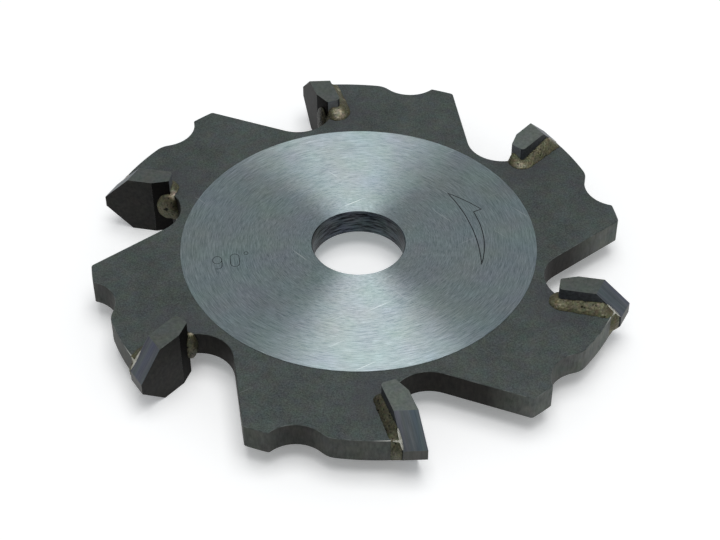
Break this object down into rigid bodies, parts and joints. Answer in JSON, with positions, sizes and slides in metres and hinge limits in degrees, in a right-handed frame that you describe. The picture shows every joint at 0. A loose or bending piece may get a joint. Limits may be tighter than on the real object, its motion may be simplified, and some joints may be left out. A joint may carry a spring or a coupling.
{
  "type": "v-groove cutter",
  "caption": "Flat steel cutting disc with thick brazed carbide tips ground to a right-angled point, for milling V-shaped folding grooves in panels.",
  "frame": {"origin": "centre of the bore on the middle plane of the body", "axes": "+Z along the axis of rotation, out of the marked face; the cutter turns counter-clockwise seen from +Z; +X through the cutting point of the first tip"},
  "size_m": [0.118, 0.114, 0.014],
  "materials": {
    "steel_body": "matt blasted, with a bright ground ring round the bore",
    "carbide": "fine ground on the rake face and flanks, as sintered on the back and root",
    "braze": "rough and pitted, smeared bright where it is ground with the flanks"
  },
  "bodies": {
    "root": {"cutter_body": "steel_body", "carbide_tip_1": "carbide", "carbide_tip_2": "carbide", "carbide_tip_3": "carbide", "carbide_tip_4": "carbide", "carbide_tip_5": "carbide", "carbide_tip_6": "carbide", "braze_1": "braze", "braze_2": "braze", "braze_3": "braze", "braze_4": "braze", "braze_5": "braze", "braze_6": "braze"}
  },
  "joints": []
}
